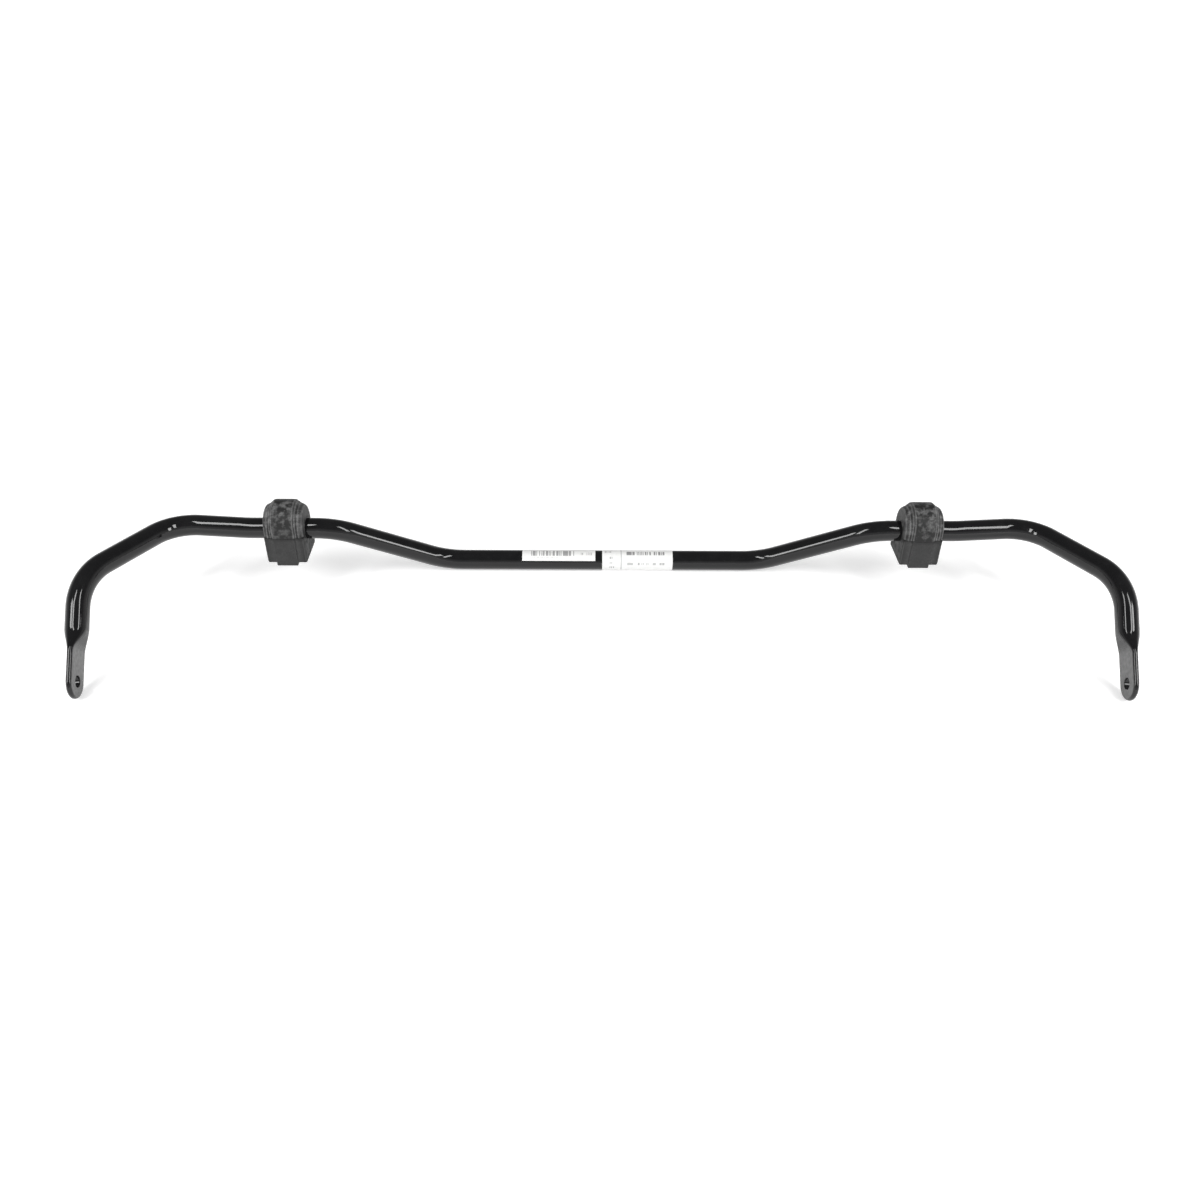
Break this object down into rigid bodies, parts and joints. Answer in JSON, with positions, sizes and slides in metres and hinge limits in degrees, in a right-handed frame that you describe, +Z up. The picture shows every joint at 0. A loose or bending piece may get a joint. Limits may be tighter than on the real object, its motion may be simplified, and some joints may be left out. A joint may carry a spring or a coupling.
{
  "type": "sway bar",
  "caption": "Tubular car sway bar, gloss black, with flattened link ends with holes, split rubber bushings bonded on, and plain labels at its middle.",
  "frame": {"origin": "mid-plane of the bar, halfway between its rearmost and foremost points, on the floor that the middle run and the two arm tips touch", "axes": "+X along the bar, -Y towards the link ends of the arms, +Z up"},
  "size_m": [1.1346, 0.2721, 0.119],
  "materials": {
    "painted_steel": "gloss black paint over the steel tube",
    "bushing_rubber": "matt dark grey moulded rubber with a grey dusty bloom",
    "insert_plastic": "plain glass-filled plastic",
    "adhesive": "cured black adhesive",
    "label_paper": "white label stock with plain black ruling"
  },
  "bodies": {
    "bar": {"bar": "painted_steel", "left_bond_film": "adhesive", "right_bond_film": "adhesive", "barcode_label": "label_paper", "wrap_label": "label_paper"},
    "left_bushing": {"left_bushing_upper": "bushing_rubber", "left_bushing_lower": "bushing_rubber", "left_insert_upper": "insert_plastic", "left_insert_lower": "insert_plastic"},
    "right_bushing": {"right_bushing_upper": "bushing_rubber", "right_bushing_lower": "bushing_rubber", "right_insert_upper": "insert_plastic", "right_insert_lower": "insert_plastic"}
  },
  "joints": [
    {"name": "left_bushing_twist", "type": "hinge", "parent": "bar", "child": "left_bushing", "pos_m": [-0.365, 0.079, 0.084], "axis": [1, 0, 0], "range_deg": [-25, 25], "stiffness_Nm_per_rad": 55},
    {"name": "right_bushing_twist", "type": "hinge", "parent": "bar", "child": "right_bushing", "pos_m": [0.365, 0.079, 0.084], "axis": [1, 0, 0], "range_deg": [-25, 25], "stiffness_Nm_per_rad": 55}
  ]
}
